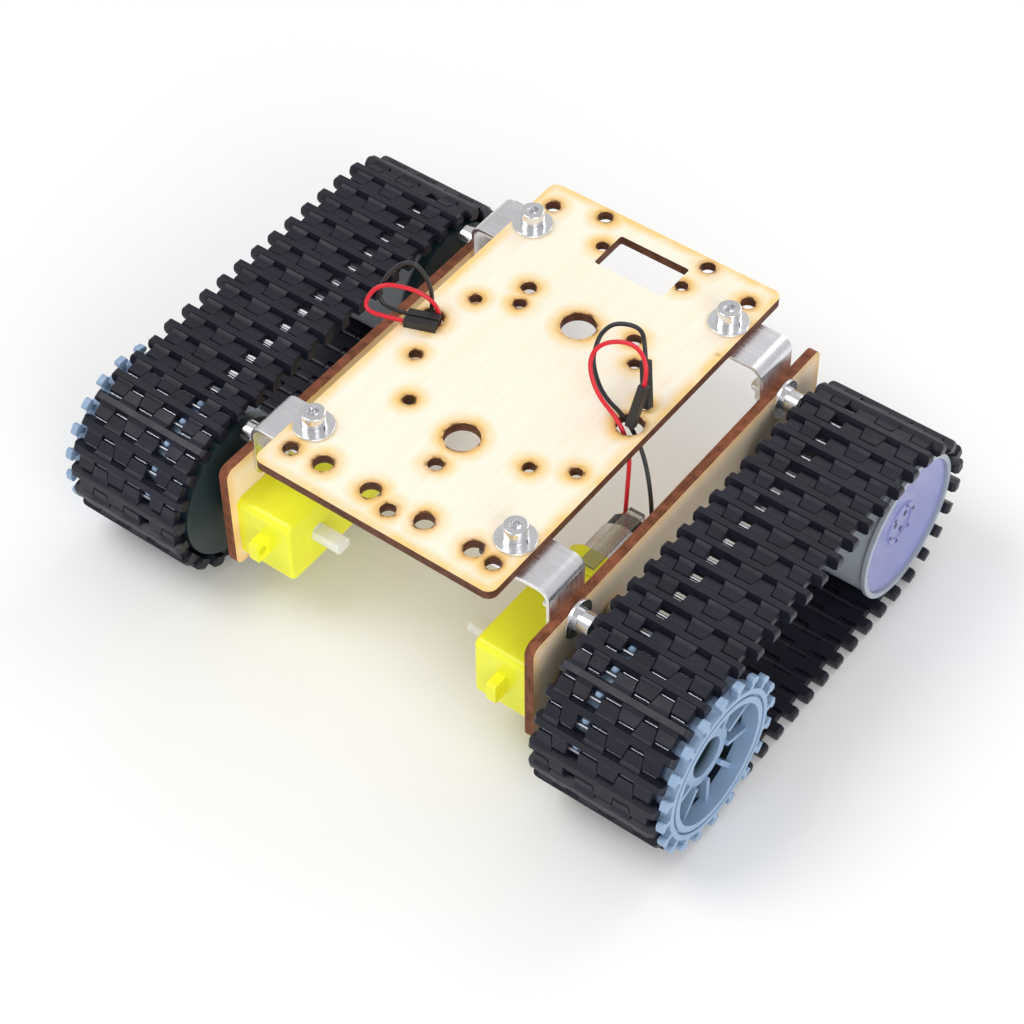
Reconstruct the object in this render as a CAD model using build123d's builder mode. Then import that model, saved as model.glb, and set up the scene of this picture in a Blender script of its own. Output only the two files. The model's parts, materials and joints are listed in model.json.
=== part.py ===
from build123d import *
import math
import os

os.makedirs("parts", exist_ok=True)

# Tracked robot chassis. +Y is forward, +X is right, the ground is z = 0. Millimetres.

# Tracks: links hinged on thin pins around a drive sprocket (rear) and an idler (front).
PITCH = 7.7
WHEEL_LINKS = 20
RUN_LINKS = 13
TURN = 360 / WHEEL_LINKS
HINGE_R = PITCH / (2 * math.sin(math.radians(TURN / 2)))
CLEAT_TOP = 3.0
CLEAT_ROOT = 3.4
CLEAT_CREST = 1.9
PLATE_HALF = 1.0
PLATE_EDGE = 2.0
KNUCKLE_R = 1.15
KNUCKLE_GAP = 0.3
PIN_R = 0.5
TRACK_INNER = 61.0
TRACK_OUTER = 102.2
TRACK_BY_TEETH = 101.4
PLATE_INNER = 62.8
PLATE_OUTER = 98.8
WINDOW = (72.2, 76.0)

AXLE_Z = HINGE_R + CLEAT_TOP
WHEEL_BASE = RUN_LINKS * PITCH
DRIVE_Y = -WHEEL_BASE / 2
IDLER_Y = WHEEL_BASE / 2

# Plywood.
SHEET = 3.0
DECK_LENGTH = 138.0
DECK_WIDTH = 80.6
DECK_Y = 4.5
DECK_TOP = 65.5
DECK_BOTTOM = DECK_TOP - SHEET
CORNER_R = 3.0
SIDE_IN = 51.0
SIDE_OUT = SIDE_IN + SHEET
SIDE_TOP = 52.0
SIDE_BOTTOM = 13.0

# Brackets and M4 hardware.
BRACKET_WIDTH = 16.0
BRACKET_SHEET = 1.2
BRACKET_BEND = 4.0
BRACKET_IN = 26.5
BRACKET_BOTTOM = 42.0
SCREW_X = 34.25
SCREW_Y = 50.0
SCREW_Z = 47.6
CORNER_HOLE_Y = 60.0
SCREW_R = 2.0
SCREW_LENGTH = 12.0
SCREW_HEAD_R = 3.5
SCREW_HEAD = 4.0
SOCKET_AF = 3.0
WASHER_R = 6.0
SPRING_WASHER_R = 3.7
WASHER = 1.0
NUT_AF = 7.0
NUT = 3.2
CLEARANCE_R = 2.25

# Gear motors.
GEARBOX_IN = 32.2
SPLIT_X = 41.6
GEARBOX_HEIGHT = 22.5
GEARBOX_BACK = 12.0
GEARBOX_FRONT = 25.5
GEARBOX_WALL = 1.5
SADDLE = 7.0
CAN_R = 10.0
CAN_FLATS = 15.0
CAN_START = GEARBOX_FRONT + 0.1
CAN_LENGTH = 19.5
CAP_LENGTH = 5.0
MOUNT_Y = 20.3
MOUNT_Z = 8.75
SHAFT_R = 2.7
SHAFT_FLATS = 3.7
SHAFT_IN = GEARBOX_IN - 9.4
SHAFT_OUT = 60.8
RUNNING = 0.05

# Gear train 48:1. Each gear is (module, teeth); positions are from the output axle.
OUTPUT_GEAR = (0.5, 32)
MIDDLE_PINION = (0.5, 8)
MIDDLE_GEAR = (0.4, 27)
CROWN_PINION = (0.4, 9)
CROWN_TEETH = 28
CROWN_R = 5.6
ROTOR_PINION = (0.4, 7)
PINION_Y = (20.4, 24.0)
MIDDLE_AT = (9.4, -3.412)
CROWN_AT = (15.753, 0.0)
GEAR_PIN_R = 0.75

# Wheels.
BARREL_R = 22.0
BARREL_WALL = 1.5
GUIDE_R = 22.7
SPROCKET_INNER = 61.5
SPROCKET_FACE = 103.8
RIM_INNER_R = 18.3
RIM_OUTER_R = 22.6
RIM_DEPTH = 5.0
TOOTH_TIP_R = 26.4
TOOTH_X = 101.8
SPOKES = 10
SPOKE = 1.5
HUB_RING_R = 9.5
HUB_R = 7.6
CUP_R = 6.2
IDLER_FACE = 100.4
IDLER_HUB_R = 7.0
BEARING_R = 5.0

# Wires: red and black on each motor, ending in single-pin housings.
WIRE_R = 0.65
HOUSING = 2.5
WIRE_HOLE = (34.5, 1.6)
WIRE_HOLE_R = 4.0

SIDES = {"left": -1, "right": 1}


def slab(side, inner, outer):
    """YZ plane at the low-X face of a slab between two distances from the centreline."""
    return Plane.YZ.offset(inner if side > 0 else -outer)


def axle(y):
    return Axis((0, y, AXLE_Z), (1, 0, 0))


def band(side, inner, outer, r_in, r_out):
    """Corners of a ring's half section, between two distances across and two radii."""
    return [(side * inner, r_in), (side * outer, r_in), (side * outer, r_out), (side * inner, r_out)]


def gear_outline(module, teeth, phase):
    """Straight-flanked teeth with backlash, the first tooth at the phase angle."""
    pitch_r = module * teeth / 2
    root_r = pitch_r - 1.1 * module
    tip_r = pitch_r + 0.8 * module
    half = 0.18 * math.pi * module
    corners = [(root_r, -1.25 * half), (tip_r, -0.5 * half), (tip_r, 0.5 * half), (root_r, 1.25 * half)]
    points = []
    for tooth in range(teeth):
        for r, along in corners:
            angle = phase + math.tau * tooth / teeth + along / r
            points.append((r * math.cos(angle), r * math.sin(angle)))
    return points


# ---------------------------------------------------------------- plywood

ROUND_HOLES = [
    # x, y from the deck's centre, radius
    (-19.2, 65.4, 2.25),
    (16.9, 65.4, 2.25),
    (-19.6, 28.3, 2.3),
    (16.7, 28.8, 2.3),
    (0.9, 24.1, 5.2),
    (0.5, -29.2, 5.2),
    (0.8, -41.3, 2.25),
    (0.7, -61.7, 2.3),
    (-23.7, -59.0, 2.9),
    (-7.4, -59.0, 2.9),
    (10.8, -59.0, 2.9),
    (27.2, -59.0, 2.9),
]
BOARD_HOLES = [
    (-17.9, 21.5),
    (-29.0, 15.7),
    (-29.2, -12.0),
    (-19.8, -26.7),
    (21.7, -27.3),
    (33.1, -21.4),
    (22.2, 21.2),
    (33.1, 9.8),
]
BOARD_HOLE_R = 1.85
SERVO_SLOT = (1.15, 54.7, 23.9, 13.6)
SERVO_EARS = 27.8
SERVO_EAR_R = 1.9

with BuildPart() as top_plate:
    with BuildSketch(Plane.XY.offset(DECK_BOTTOM)):
        with Locations((0, DECK_Y)):
            RectangleRounded(DECK_WIDTH, DECK_LENGTH, CORNER_R)
            with GridLocations(2 * SCREW_X, 2 * CORNER_HOLE_Y, 2, 2):
                Circle(CLEARANCE_R, mode=Mode.SUBTRACT)
            with GridLocations(2 * SCREW_X, 2 * SCREW_Y, 2, 2):
                Circle(CLEARANCE_R, mode=Mode.SUBTRACT)
            with GridLocations(2 * WIRE_HOLE[0], 0, 2, 1):
                with Locations((0, WIRE_HOLE[1])):
                    Circle(WIRE_HOLE_R, mode=Mode.SUBTRACT)
            with Locations(SERVO_SLOT[:2]):
                RectangleRounded(SERVO_SLOT[2], SERVO_SLOT[3], 0.8, mode=Mode.SUBTRACT)
                with GridLocations(SERVO_EARS, 0, 2, 1):
                    Circle(SERVO_EAR_R, mode=Mode.SUBTRACT)
            for hole_x, hole_y, hole_r in ROUND_HOLES:
                with Locations((hole_x, hole_y)):
                    Circle(hole_r, mode=Mode.SUBTRACT)
            with Locations(*BOARD_HOLES):
                Circle(BOARD_HOLE_R, mode=Mode.SUBTRACT)
    extrude(amount=SHEET)
top_plate.part.label = "top_plate"
export_step(top_plate.part, "parts/top_plate.step")

side_height = SIDE_TOP - SIDE_BOTTOM
for name, side in SIDES.items():
    with BuildPart() as side_plate:
        with BuildSketch(slab(side, SIDE_IN, SIDE_OUT)):
            with Locations((DECK_Y, SIDE_BOTTOM + side_height / 2)):
                RectangleRounded(DECK_LENGTH, side_height, CORNER_R)
            with Locations((DECK_Y - SCREW_Y, SCREW_Z), (DECK_Y + SCREW_Y, SCREW_Z)):
                Circle(CLEARANCE_R, mode=Mode.SUBTRACT)
            with Locations((DRIVE_Y, AXLE_Z)):
                Circle(SHAFT_R + 1.3, mode=Mode.SUBTRACT)
            with Locations((IDLER_Y, AXLE_Z)):
                Circle(SCREW_R + RUNNING, mode=Mode.SUBTRACT)
            with Locations((DRIVE_Y + MOUNT_Y, AXLE_Z)):
                with GridLocations(0, 2 * MOUNT_Z, 1, 2):
                    Circle(1.6, mode=Mode.SUBTRACT)
        extrude(amount=SHEET)
    side_plate.part.label = name + "_side_plate"
    export_step(side_plate.part, "parts/" + name + "_side_plate.step")

# ---------------------------------------------------------------- brackets

for name, side in SIDES.items():
    for end, end_y in {"front": SCREW_Y, "rear": -SCREW_Y}.items():
        y = DECK_Y + end_y
        with BuildPart() as bracket:
            with BuildSketch(Plane.XZ.offset(-y - BRACKET_WIDTH / 2)):
                with BuildLine():
                    Polyline(
                        (side * BRACKET_IN, DECK_BOTTOM),
                        (side * SIDE_IN, DECK_BOTTOM),
                        (side * SIDE_IN, BRACKET_BOTTOM),
                        (side * (SIDE_IN - BRACKET_SHEET), BRACKET_BOTTOM),
                        (side * (SIDE_IN - BRACKET_SHEET), DECK_BOTTOM - BRACKET_SHEET),
                        (side * BRACKET_IN, DECK_BOTTOM - BRACKET_SHEET),
                        close=True,
                    )
                make_face()
            extrude(amount=BRACKET_WIDTH)
            along = bracket.edges().filter_by(Axis.Y)
            outer_bend = along.sort_by(lambda e: side * e.center().X + e.center().Z)[-1:]
            inner_corner = Vector(side * (SIDE_IN - BRACKET_SHEET), y, DECK_BOTTOM - BRACKET_SHEET)
            inner_bend = along.sort_by(lambda e: (e.center() - inner_corner).length)[:1]
            flange_corners = bracket.edges().filter_by(Axis.Z).sort_by(lambda e: side * e.center().X)[:2]
            leg_corners = bracket.edges().filter_by(Axis.X).sort_by(Axis.Z)[:2]
            fillet(flange_corners + leg_corners, 3)
            fillet(outer_bend, BRACKET_BEND)
            fillet(inner_bend, BRACKET_BEND - BRACKET_SHEET)
            with Locations((side * SCREW_X, y, DECK_BOTTOM)):
                Hole(CLEARANCE_R, 2 * BRACKET_SHEET)
            with Locations(Location((side * SIDE_IN, y, SCREW_Z), (0, side * 90, 0))):
                Hole(CLEARANCE_R, 2 * BRACKET_SHEET)
        label = end + "_" + name + "_bracket"
        bracket.part.label = label
        export_step(bracket.part, "parts/" + label + ".step")

# ---------------------------------------------------------------- M4 hardware

DECK_SCREWS = []
SIDE_SCREWS = []
for end_y in (-SCREW_Y, SCREW_Y):
    for side in (-1, 1):
        DECK_SCREWS.append(Location((side * SCREW_X, DECK_Y + end_y, DECK_TOP)))
        SIDE_SCREWS.append(Location((side * SIDE_OUT, DECK_Y + end_y, SCREW_Z), (0, side * 90, 0)))
M4_FRAMES = DECK_SCREWS + SIDE_SCREWS
HEAD_AT = 2 * WASHER
DECK_STACK = SHEET + BRACKET_SHEET

with BuildPart() as m4_screw:
    with BuildSketch(Plane.XY.offset(HEAD_AT - SCREW_LENGTH)):
        Circle(SCREW_R)
    extrude(amount=SCREW_LENGTH)
    fillet(m4_screw.edges().sort_by(Axis.Z)[:1], 0.8)
    with BuildSketch(Plane.XY.offset(HEAD_AT)):
        Circle(SCREW_HEAD_R)
    extrude(amount=SCREW_HEAD)
    fillet(m4_screw.edges().sort_by(Axis.Z)[-1:], 0.4)
    with BuildSketch(Plane.XY.offset(HEAD_AT + SCREW_HEAD)):
        RegularPolygon(SOCKET_AF / 2, 6, major_radius=False)
    extrude(amount=-2.2, mode=Mode.SUBTRACT)

with BuildPart() as m4_screws:
    with Locations(*M4_FRAMES):
        add(m4_screw.part)
m4_screws.part.label = "m4_screws"
export_step(m4_screws.part, "parts/m4_screws.step")

with BuildPart() as flat_washer:
    with BuildSketch():
        Circle(WASHER_R)
        Circle(CLEARANCE_R, mode=Mode.SUBTRACT)
    extrude(amount=WASHER)
    fillet(flat_washer.edges().filter_by(GeomType.CIRCLE).sort_by(SortBy.RADIUS)[-2:], 0.2)

with BuildPart() as flat_washers:
    with Locations(*M4_FRAMES):
        add(flat_washer.part)
flat_washers.part.label = "flat_washers"
export_step(flat_washers.part, "parts/flat_washers.step")

with BuildPart() as spring_washer:
    with BuildSketch(Plane.XY.offset(WASHER)):
        Circle(SPRING_WASHER_R)
        Circle(CLEARANCE_R, mode=Mode.SUBTRACT)
        with Locations((SPRING_WASHER_R, 0)):
            Rectangle(2 * SPRING_WASHER_R, 0.4, mode=Mode.SUBTRACT)
    extrude(amount=WASHER)

with BuildPart() as spring_washers:
    with Locations(*M4_FRAMES):
        add(spring_washer.part)
spring_washers.part.label = "spring_washers"
export_step(spring_washers.part, "parts/spring_washers.step")

with BuildPart() as m4_nut:
    with BuildSketch(Plane.XY.offset(-DECK_STACK - NUT)):
        RegularPolygon(NUT_AF / 2, 6, major_radius=False)
        Circle(SCREW_R + RUNNING, mode=Mode.SUBTRACT)
    extrude(amount=NUT)

with BuildPart() as m4_nuts:
    with Locations(*M4_FRAMES):
        add(m4_nut.part)
m4_nuts.part.label = "m4_nuts"
export_step(m4_nuts.part, "parts/m4_nuts.step")

# ---------------------------------------------------------------- gearboxes

box_centre = (DRIVE_Y + (GEARBOX_FRONT - GEARBOX_BACK) / 2, AXLE_Z)
box_length = GEARBOX_FRONT + GEARBOX_BACK
inside_length = box_length - 2 * GEARBOX_WALL
inside_height = GEARBOX_HEIGHT - 2 * GEARBOX_WALL
SADDLE_END = DRIVE_Y + GEARBOX_FRONT + SADDLE
SADDLE_R = 12.4
gear_axes = [(DRIVE_Y + y, AXLE_Z + z) for y, z in (MIDDLE_AT, CROWN_AT)]
SOCKET = 1.0
TAB = 5.0
# half: outside face, gear space, pin sockets and mounting tab, each from inboard to outboard
SHELLS = {
    "outer": (SPLIT_X, SIDE_IN, SPLIT_X, SIDE_IN - GEARBOX_WALL, SIDE_IN - GEARBOX_WALL, SPLIT_X),
    "inner": (
        GEARBOX_IN,
        SPLIT_X,
        GEARBOX_IN + GEARBOX_WALL,
        SPLIT_X,
        GEARBOX_IN + GEARBOX_WALL - SOCKET,
        SPLIT_X - GEARBOX_WALL,
    ),
}

for name, side in SIDES.items():
    for half, (inner, outer, space_in, space_out, socket_in, tab_in) in SHELLS.items():
        with BuildPart() as shell:
            with BuildSketch(slab(side, inner, outer)):
                with Locations(box_centre):
                    RectangleRounded(box_length, GEARBOX_HEIGHT, 2.5)
            extrude(amount=outer - inner)
            if half == "inner":
                inboard_face = shell.faces().sort_by(lambda f: side * f.center().X)[0]
                fillet(inboard_face.edges(), 1.2)
            with BuildSketch(slab(side, inner, outer)):
                with Locations((SADDLE_END - SADDLE / 2 - 0.5, AXLE_Z)):
                    Rectangle(SADDLE + 1, GEARBOX_HEIGHT)
            extrude(amount=outer - inner)
            with BuildSketch(slab(side, tab_in, tab_in + GEARBOX_WALL)):
                with Locations((DRIVE_Y - GEARBOX_BACK - TAB / 2 + 0.5, AXLE_Z)):
                    RectangleRounded(TAB + 1, 7, 0.9)
                with Locations((DRIVE_Y - GEARBOX_BACK - TAB / 2, AXLE_Z)):
                    Circle(1.5, mode=Mode.SUBTRACT)
            extrude(amount=GEARBOX_WALL)
            # arch that carries the motor
            with BuildSketch(Plane.XZ.offset(-SADDLE_END)):
                with Locations((side * SPLIT_X, AXLE_Z)):
                    Rectangle(4 * CAN_R, 4 * CAN_R)
                    Circle(SADDLE_R, mode=Mode.SUBTRACT)
            extrude(amount=SADDLE, mode=Mode.SUBTRACT)
            with BuildSketch(Plane.XZ.offset(-SADDLE_END)):
                with Locations((side * SPLIT_X, AXLE_Z)):
                    Circle(CAN_R + 0.1)
                    Rectangle(CAN_FLATS + 0.2, 3 * CAN_R, mode=Mode.INTERSECT)
            extrude(amount=SADDLE, mode=Mode.SUBTRACT)
            # gear space, with a post round each mounting screw
            with BuildSketch(slab(side, space_in, space_out)):
                with Locations(box_centre):
                    RectangleRounded(inside_length, inside_height, 1.5)
                with Locations((DRIVE_Y + MOUNT_Y, AXLE_Z - MOUNT_Z), (DRIVE_Y + MOUNT_Y, AXLE_Z + MOUNT_Z)):
                    Circle(2.6, mode=Mode.SUBTRACT)
            extrude(amount=space_out - space_in, mode=Mode.SUBTRACT)
            with BuildSketch(slab(side, inner, outer)):
                with Locations((DRIVE_Y, AXLE_Z)):
                    Circle(SHAFT_R + RUNNING)
                with Locations((DRIVE_Y + MOUNT_Y, AXLE_Z - MOUNT_Z), (DRIVE_Y + MOUNT_Y, AXLE_Z + MOUNT_Z)):
                    Circle(1.6)
            extrude(amount=outer - inner, mode=Mode.SUBTRACT)
            with BuildSketch(slab(side, socket_in, socket_in + SOCKET)):
                with Locations(*gear_axes):
                    Circle(GEAR_PIN_R + 0.02)
            extrude(amount=SOCKET, mode=Mode.SUBTRACT)
            with BuildSketch(Plane.XZ.offset(-DRIVE_Y - GEARBOX_FRONT - 0.5)):
                with Locations((side * SPLIT_X, AXLE_Z)):
                    Circle(2.2)
            extrude(amount=GEARBOX_WALL + 1, mode=Mode.SUBTRACT)
        label = name + "_gearbox_" + half + "_shell"
        shell.part.label = label
        export_step(shell.part, "parts/" + label + ".step")

with BuildPart() as gear_pins:
    for side in SIDES.values():
        pin_in = GEARBOX_IN + GEARBOX_WALL - SOCKET + 0.05
        pin_out = SIDE_IN - GEARBOX_WALL + SOCKET - 0.05
        with BuildSketch(slab(side, pin_in, pin_out)):
            with Locations(*gear_axes):
                Circle(GEAR_PIN_R)
        extrude(amount=pin_out - pin_in)
gear_pins.part.label = "gear_pins"
export_step(gear_pins.part, "parts/gear_pins.step")

MOUNT_SCREW_R = 1.5
MOUNT_NUT = 2.4
with BuildPart() as motor_mount_screws:
    for side in SIDES.values():
        for z in (AXLE_Z - MOUNT_Z, AXLE_Z + MOUNT_Z):
            screw_end = GEARBOX_IN - MOUNT_NUT - 1.5
            with BuildSketch(slab(side, screw_end, SIDE_OUT)):
                with Locations((DRIVE_Y + MOUNT_Y, z)):
                    Circle(MOUNT_SCREW_R)
            extrude(amount=SIDE_OUT - screw_end)
            with BuildSketch(slab(side, SIDE_OUT, SIDE_OUT + 2)):
                with Locations((DRIVE_Y + MOUNT_Y, z)):
                    Circle(2.75)
            extrude(amount=2)
            with BuildSketch(slab(side, SIDE_OUT + 1, SIDE_OUT + 2)):
                with Locations((DRIVE_Y + MOUNT_Y, z)):
                    Rectangle(3, 0.7)
                    Rectangle(0.7, 3)
            extrude(amount=1, mode=Mode.SUBTRACT)
motor_mount_screws.part.label = "motor_mount_screws"
export_step(motor_mount_screws.part, "parts/motor_mount_screws.step")

with BuildPart() as motor_mount_nuts:
    for side in SIDES.values():
        with BuildSketch(slab(side, GEARBOX_IN - MOUNT_NUT, GEARBOX_IN)):
            for z in (AXLE_Z - MOUNT_Z, AXLE_Z + MOUNT_Z):
                with Locations((DRIVE_Y + MOUNT_Y, z)):
                    RegularPolygon(2.75, 6, major_radius=False)
                    Circle(MOUNT_SCREW_R + RUNNING, mode=Mode.SUBTRACT)
        extrude(amount=MOUNT_NUT)
motor_mount_nuts.part.label = "motor_mount_nuts"
export_step(motor_mount_nuts.part, "parts/motor_mount_nuts.step")

# ---------------------------------------------------------------- motors

CAN_WALL = 0.8
can_y = DRIVE_Y + CAN_START
cap_y = can_y + CAN_LENGTH
ROTOR_SHAFT_R = 1.0
ARMATURE_R = 6.0
COMMUTATOR_R = 2.4
TERMINAL_X = 4.5
TERMINAL_Z = 6.5

for name, side in SIDES.items():
    with BuildPart() as can:
        with BuildSketch(Plane.XZ.offset(-cap_y)):
            with Locations((side * SPLIT_X, AXLE_Z)):
                Circle(CAN_R)
                Rectangle(CAN_FLATS, 3 * CAN_R, mode=Mode.INTERSECT)
        extrude(amount=CAN_LENGTH)
        fillet(can.faces().sort_by(Axis.Y)[0].edges(), 0.6)
        with BuildSketch(Plane.XZ.offset(-cap_y)):
            with Locations((side * SPLIT_X, AXLE_Z)):
                Circle(CAN_R - CAN_WALL)
                Rectangle(CAN_FLATS - 2 * CAN_WALL, 3 * CAN_R, mode=Mode.INTERSECT)
        extrude(amount=CAN_LENGTH - 1, mode=Mode.SUBTRACT)
        with BuildSketch(Plane.XZ.offset(-cap_y)):
            with Locations((side * SPLIT_X, AXLE_Z)):
                Circle(ROTOR_SHAFT_R + RUNNING)
        extrude(amount=CAN_LENGTH, mode=Mode.SUBTRACT)
    can.part.label = name + "_motor_can"
    export_step(can.part, "parts/" + name + "_motor_can.step")

with BuildPart() as motor_magnets:
    for side in SIDES.values():
        with BuildSketch(Plane.XZ.offset(-cap_y + 3)):
            with Locations((side * SPLIT_X, AXLE_Z)):
                Circle(CAN_R - CAN_WALL - 0.02)
                Circle(ARMATURE_R + 0.5, mode=Mode.SUBTRACT)
                Rectangle(9, 3 * CAN_R, mode=Mode.INTERSECT)
        extrude(amount=CAN_LENGTH - 6)
motor_magnets.part.label = "motor_magnets"
export_step(motor_magnets.part, "parts/motor_magnets.step")

with BuildPart() as motor_end_caps:
    for side in SIDES.values():
        with BuildSketch(Plane.XZ.offset(-cap_y - CAP_LENGTH)):
            with Locations((side * SPLIT_X, AXLE_Z)):
                Circle(CAN_R - 0.4)
                Rectangle(CAN_FLATS - 0.8, 3 * CAN_R, mode=Mode.INTERSECT)
        extrude(amount=CAP_LENGTH)
        with BuildSketch(Plane.XZ.offset(-cap_y - CAP_LENGTH + 1.5)):
            with Locations((side * SPLIT_X, AXLE_Z)):
                Circle(CAN_R - 1.6)
                Rectangle(CAN_FLATS - 2.4, 3 * CAN_R, mode=Mode.INTERSECT)
        extrude(amount=CAP_LENGTH - 1.5, mode=Mode.SUBTRACT)
        with BuildSketch(Plane.XZ.offset(-cap_y - CAP_LENGTH)):
            with Locations((side * SPLIT_X, AXLE_Z)):
                Circle(ROTOR_SHAFT_R + RUNNING)
                for x in (-TERMINAL_X, TERMINAL_X):
                    with Locations((x, TERMINAL_Z)):
                        Rectangle(2.6, 0.7)
        extrude(amount=CAP_LENGTH, mode=Mode.SUBTRACT)
motor_end_caps.part.label = "motor_end_caps"
export_step(motor_end_caps.part, "parts/motor_end_caps.step")

# Each terminal is a solder tab behind the cap and a brush arm to the commutator.
with BuildPart() as motor_terminals:
    for side in SIDES.values():
        for x in (-TERMINAL_X, TERMINAL_X):
            brush = COMMUTATOR_R + RUNNING + 0.4
            with Locations((side * SPLIT_X + x, cap_y + CAP_LENGTH / 2 + 1.2, AXLE_Z + TERMINAL_Z)):
                Box(2.4, CAP_LENGTH + 2.4, 0.5)
            with Locations((side * SPLIT_X + math.copysign(brush, x), cap_y + 1.0, AXLE_Z)):
                Box(0.8, 1.8, 2)
            with Locations((side * SPLIT_X + math.copysign(brush + 0.7, x), cap_y + 0.5, AXLE_Z + TERMINAL_Z / 2)):
                Box(0.7, 0.8, TERMINAL_Z + 0.5)
motor_terminals.part.label = "motor_terminals"
export_step(motor_terminals.part, "parts/motor_terminals.step")

# Clear straps hold each motor to its gearbox.
STRAP = 0.8
STRAP_WIDTH = 5.0
strap_start = SADDLE_END - SADDLE + 1
strap_end = cap_y + CAP_LENGTH + 0.05
with BuildPart() as motor_straps:
    for side in SIDES.values():
        for z in (-1, 1):
            over = z * (CAN_R + 1.3 + STRAP / 2)
            with Locations((side * SPLIT_X, (strap_start + strap_end + STRAP) / 2, AXLE_Z + over)):
                Box(STRAP_WIDTH, strap_end + STRAP - strap_start, STRAP)
        with Locations((side * SPLIT_X, strap_end + STRAP / 2, AXLE_Z)):
            Box(STRAP_WIDTH, STRAP, 2 * (CAN_R + 1.3 + STRAP))
motor_straps.part.label = "motor_straps"
export_step(motor_straps.part, "parts/motor_straps.step")

for name, side in SIDES.items():
    with BuildPart() as rotor:
        with BuildSketch(Plane.XZ.offset(-cap_y - CAP_LENGTH + 0.3)):
            with Locations((side * SPLIT_X, AXLE_Z)):
                Circle(ROTOR_SHAFT_R)
        extrude(amount=cap_y + CAP_LENGTH - 0.3 - DRIVE_Y - PINION_Y[0])
        with BuildSketch(Plane.XZ.offset(-cap_y + 4)):
            with Locations((side * SPLIT_X, AXLE_Z)):
                Circle(ARMATURE_R)
                with PolarLocations(4, 3):
                    Circle(1.5, mode=Mode.SUBTRACT)
                    with Locations((1.5, 0)):
                        Rectangle(2.5, 1.2, mode=Mode.SUBTRACT)
        extrude(amount=CAN_LENGTH - 7.5)
        with BuildSketch(Plane.XZ.offset(-cap_y - 2.4)):
            with Locations((side * SPLIT_X, AXLE_Z)):
                Circle(COMMUTATOR_R)
        extrude(amount=4)
        # a tooth of the pinion points at the crown gear
        with BuildSketch(Plane.XZ.offset(-DRIVE_Y - PINION_Y[1])):
            with Locations((side * SPLIT_X, AXLE_Z)):
                Polygon(*gear_outline(*ROTOR_PINION, math.pi if side > 0 else 0), align=None)
        extrude(amount=PINION_Y[1] - PINION_Y[0])
    rotor.part.label = name + "_rotor"
    export_step(rotor.part, "parts/" + name + "_rotor.step")

# ---------------------------------------------------------------- gears and shafts

to_middle = math.atan2(MIDDLE_AT[1], MIDDLE_AT[0])
to_crown = math.atan2(CROWN_AT[1] - MIDDLE_AT[1], CROWN_AT[0] - MIDDLE_AT[0])
half_tooth = {teeth: math.pi / teeth for teeth in (MIDDLE_PINION[1], CROWN_PINION[1], CROWN_TEETH)}

for name, side in SIDES.items():
    with BuildPart() as output_shaft:
        with BuildSketch(slab(side, SHAFT_IN, SHAFT_OUT)):
            with Locations((DRIVE_Y, AXLE_Z)):
                Circle(SHAFT_R)
                Rectangle(4 * SHAFT_R, SHAFT_FLATS, mode=Mode.INTERSECT)
        extrude(amount=SHAFT_OUT - SHAFT_IN)
        with BuildSketch(slab(side, GEARBOX_IN, SIDE_IN + 0.5)):
            with Locations((DRIVE_Y, AXLE_Z)):
                Circle(SHAFT_R)
        extrude(amount=SIDE_IN + 0.5 - GEARBOX_IN)
        with BuildSketch(slab(side, 44.6, 48.6)):
            with Locations((DRIVE_Y, AXLE_Z)):
                Polygon(*gear_outline(*OUTPUT_GEAR, to_middle), align=None)
        extrude(amount=4)
        with BuildSketch(slab(side, SHAFT_OUT - 6, SHAFT_OUT)):
            with Locations((DRIVE_Y, AXLE_Z)):
                Circle(1.27)
        extrude(amount=6, mode=Mode.SUBTRACT)
    output_shaft.part.label = name + "_output_shaft"
    export_step(output_shaft.part, "parts/" + name + "_output_shaft.step")

    with BuildPart() as middle_gear:
        with BuildSketch(slab(side, 41.5, 44.1)):
            with Locations(gear_axes[0]):
                Polygon(*gear_outline(*MIDDLE_GEAR, to_crown), align=None)
        extrude(amount=2.6)
        with BuildSketch(slab(side, 44.1, 48.8)):
            with Locations(gear_axes[0]):
                pinion_phase = to_middle + math.pi + half_tooth[MIDDLE_PINION[1]]
                Polygon(*gear_outline(*MIDDLE_PINION, pinion_phase), align=None)
        extrude(amount=4.7)
        with BuildSketch(slab(side, 41.5, 48.8)):
            with Locations(gear_axes[0]):
                Circle(GEAR_PIN_R + RUNNING)
        extrude(amount=7.3, mode=Mode.SUBTRACT)
    middle_gear.part.label = name + "_middle_gear"
    export_step(middle_gear.part, "parts/" + name + "_middle_gear.step")

    with BuildPart() as crown_gear:
        with BuildSketch(slab(side, 37.2, 38.8)):
            with Locations(gear_axes[1]):
                Circle(CROWN_R + 0.6)
        extrude(amount=1.6)
        with BuildSketch(slab(side, 38.8, 41.5)):
            with Locations(gear_axes[1]):
                Circle(1.35)
        extrude(amount=2.7)
        with BuildSketch(slab(side, 41.5, 44.3)):
            with Locations(gear_axes[1]):
                pinion_phase = to_crown + math.pi + half_tooth[CROWN_PINION[1]]
                Polygon(*gear_outline(*CROWN_PINION, pinion_phase), align=None)
        extrude(amount=2.8)
        # crown teeth stand on the disc; a gap faces the motor
        with BuildSketch(slab(side, 38.8, 40.6)):
            with Locations(gear_axes[1]):
                with PolarLocations(CROWN_R, CROWN_TEETH, math.degrees(half_tooth[CROWN_TEETH])):
                    Rectangle(1.2, 0.4)
        extrude(amount=1.8)
        with BuildSketch(slab(side, 37.2, 44.3)):
            with Locations(gear_axes[1]):
                Circle(GEAR_PIN_R + RUNNING)
        extrude(amount=7.1, mode=Mode.SUBTRACT)
    crown_gear.part.label = name + "_crown_gear"
    export_step(crown_gear.part, "parts/" + name + "_crown_gear.step")

# ---------------------------------------------------------------- drive sprockets

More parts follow.
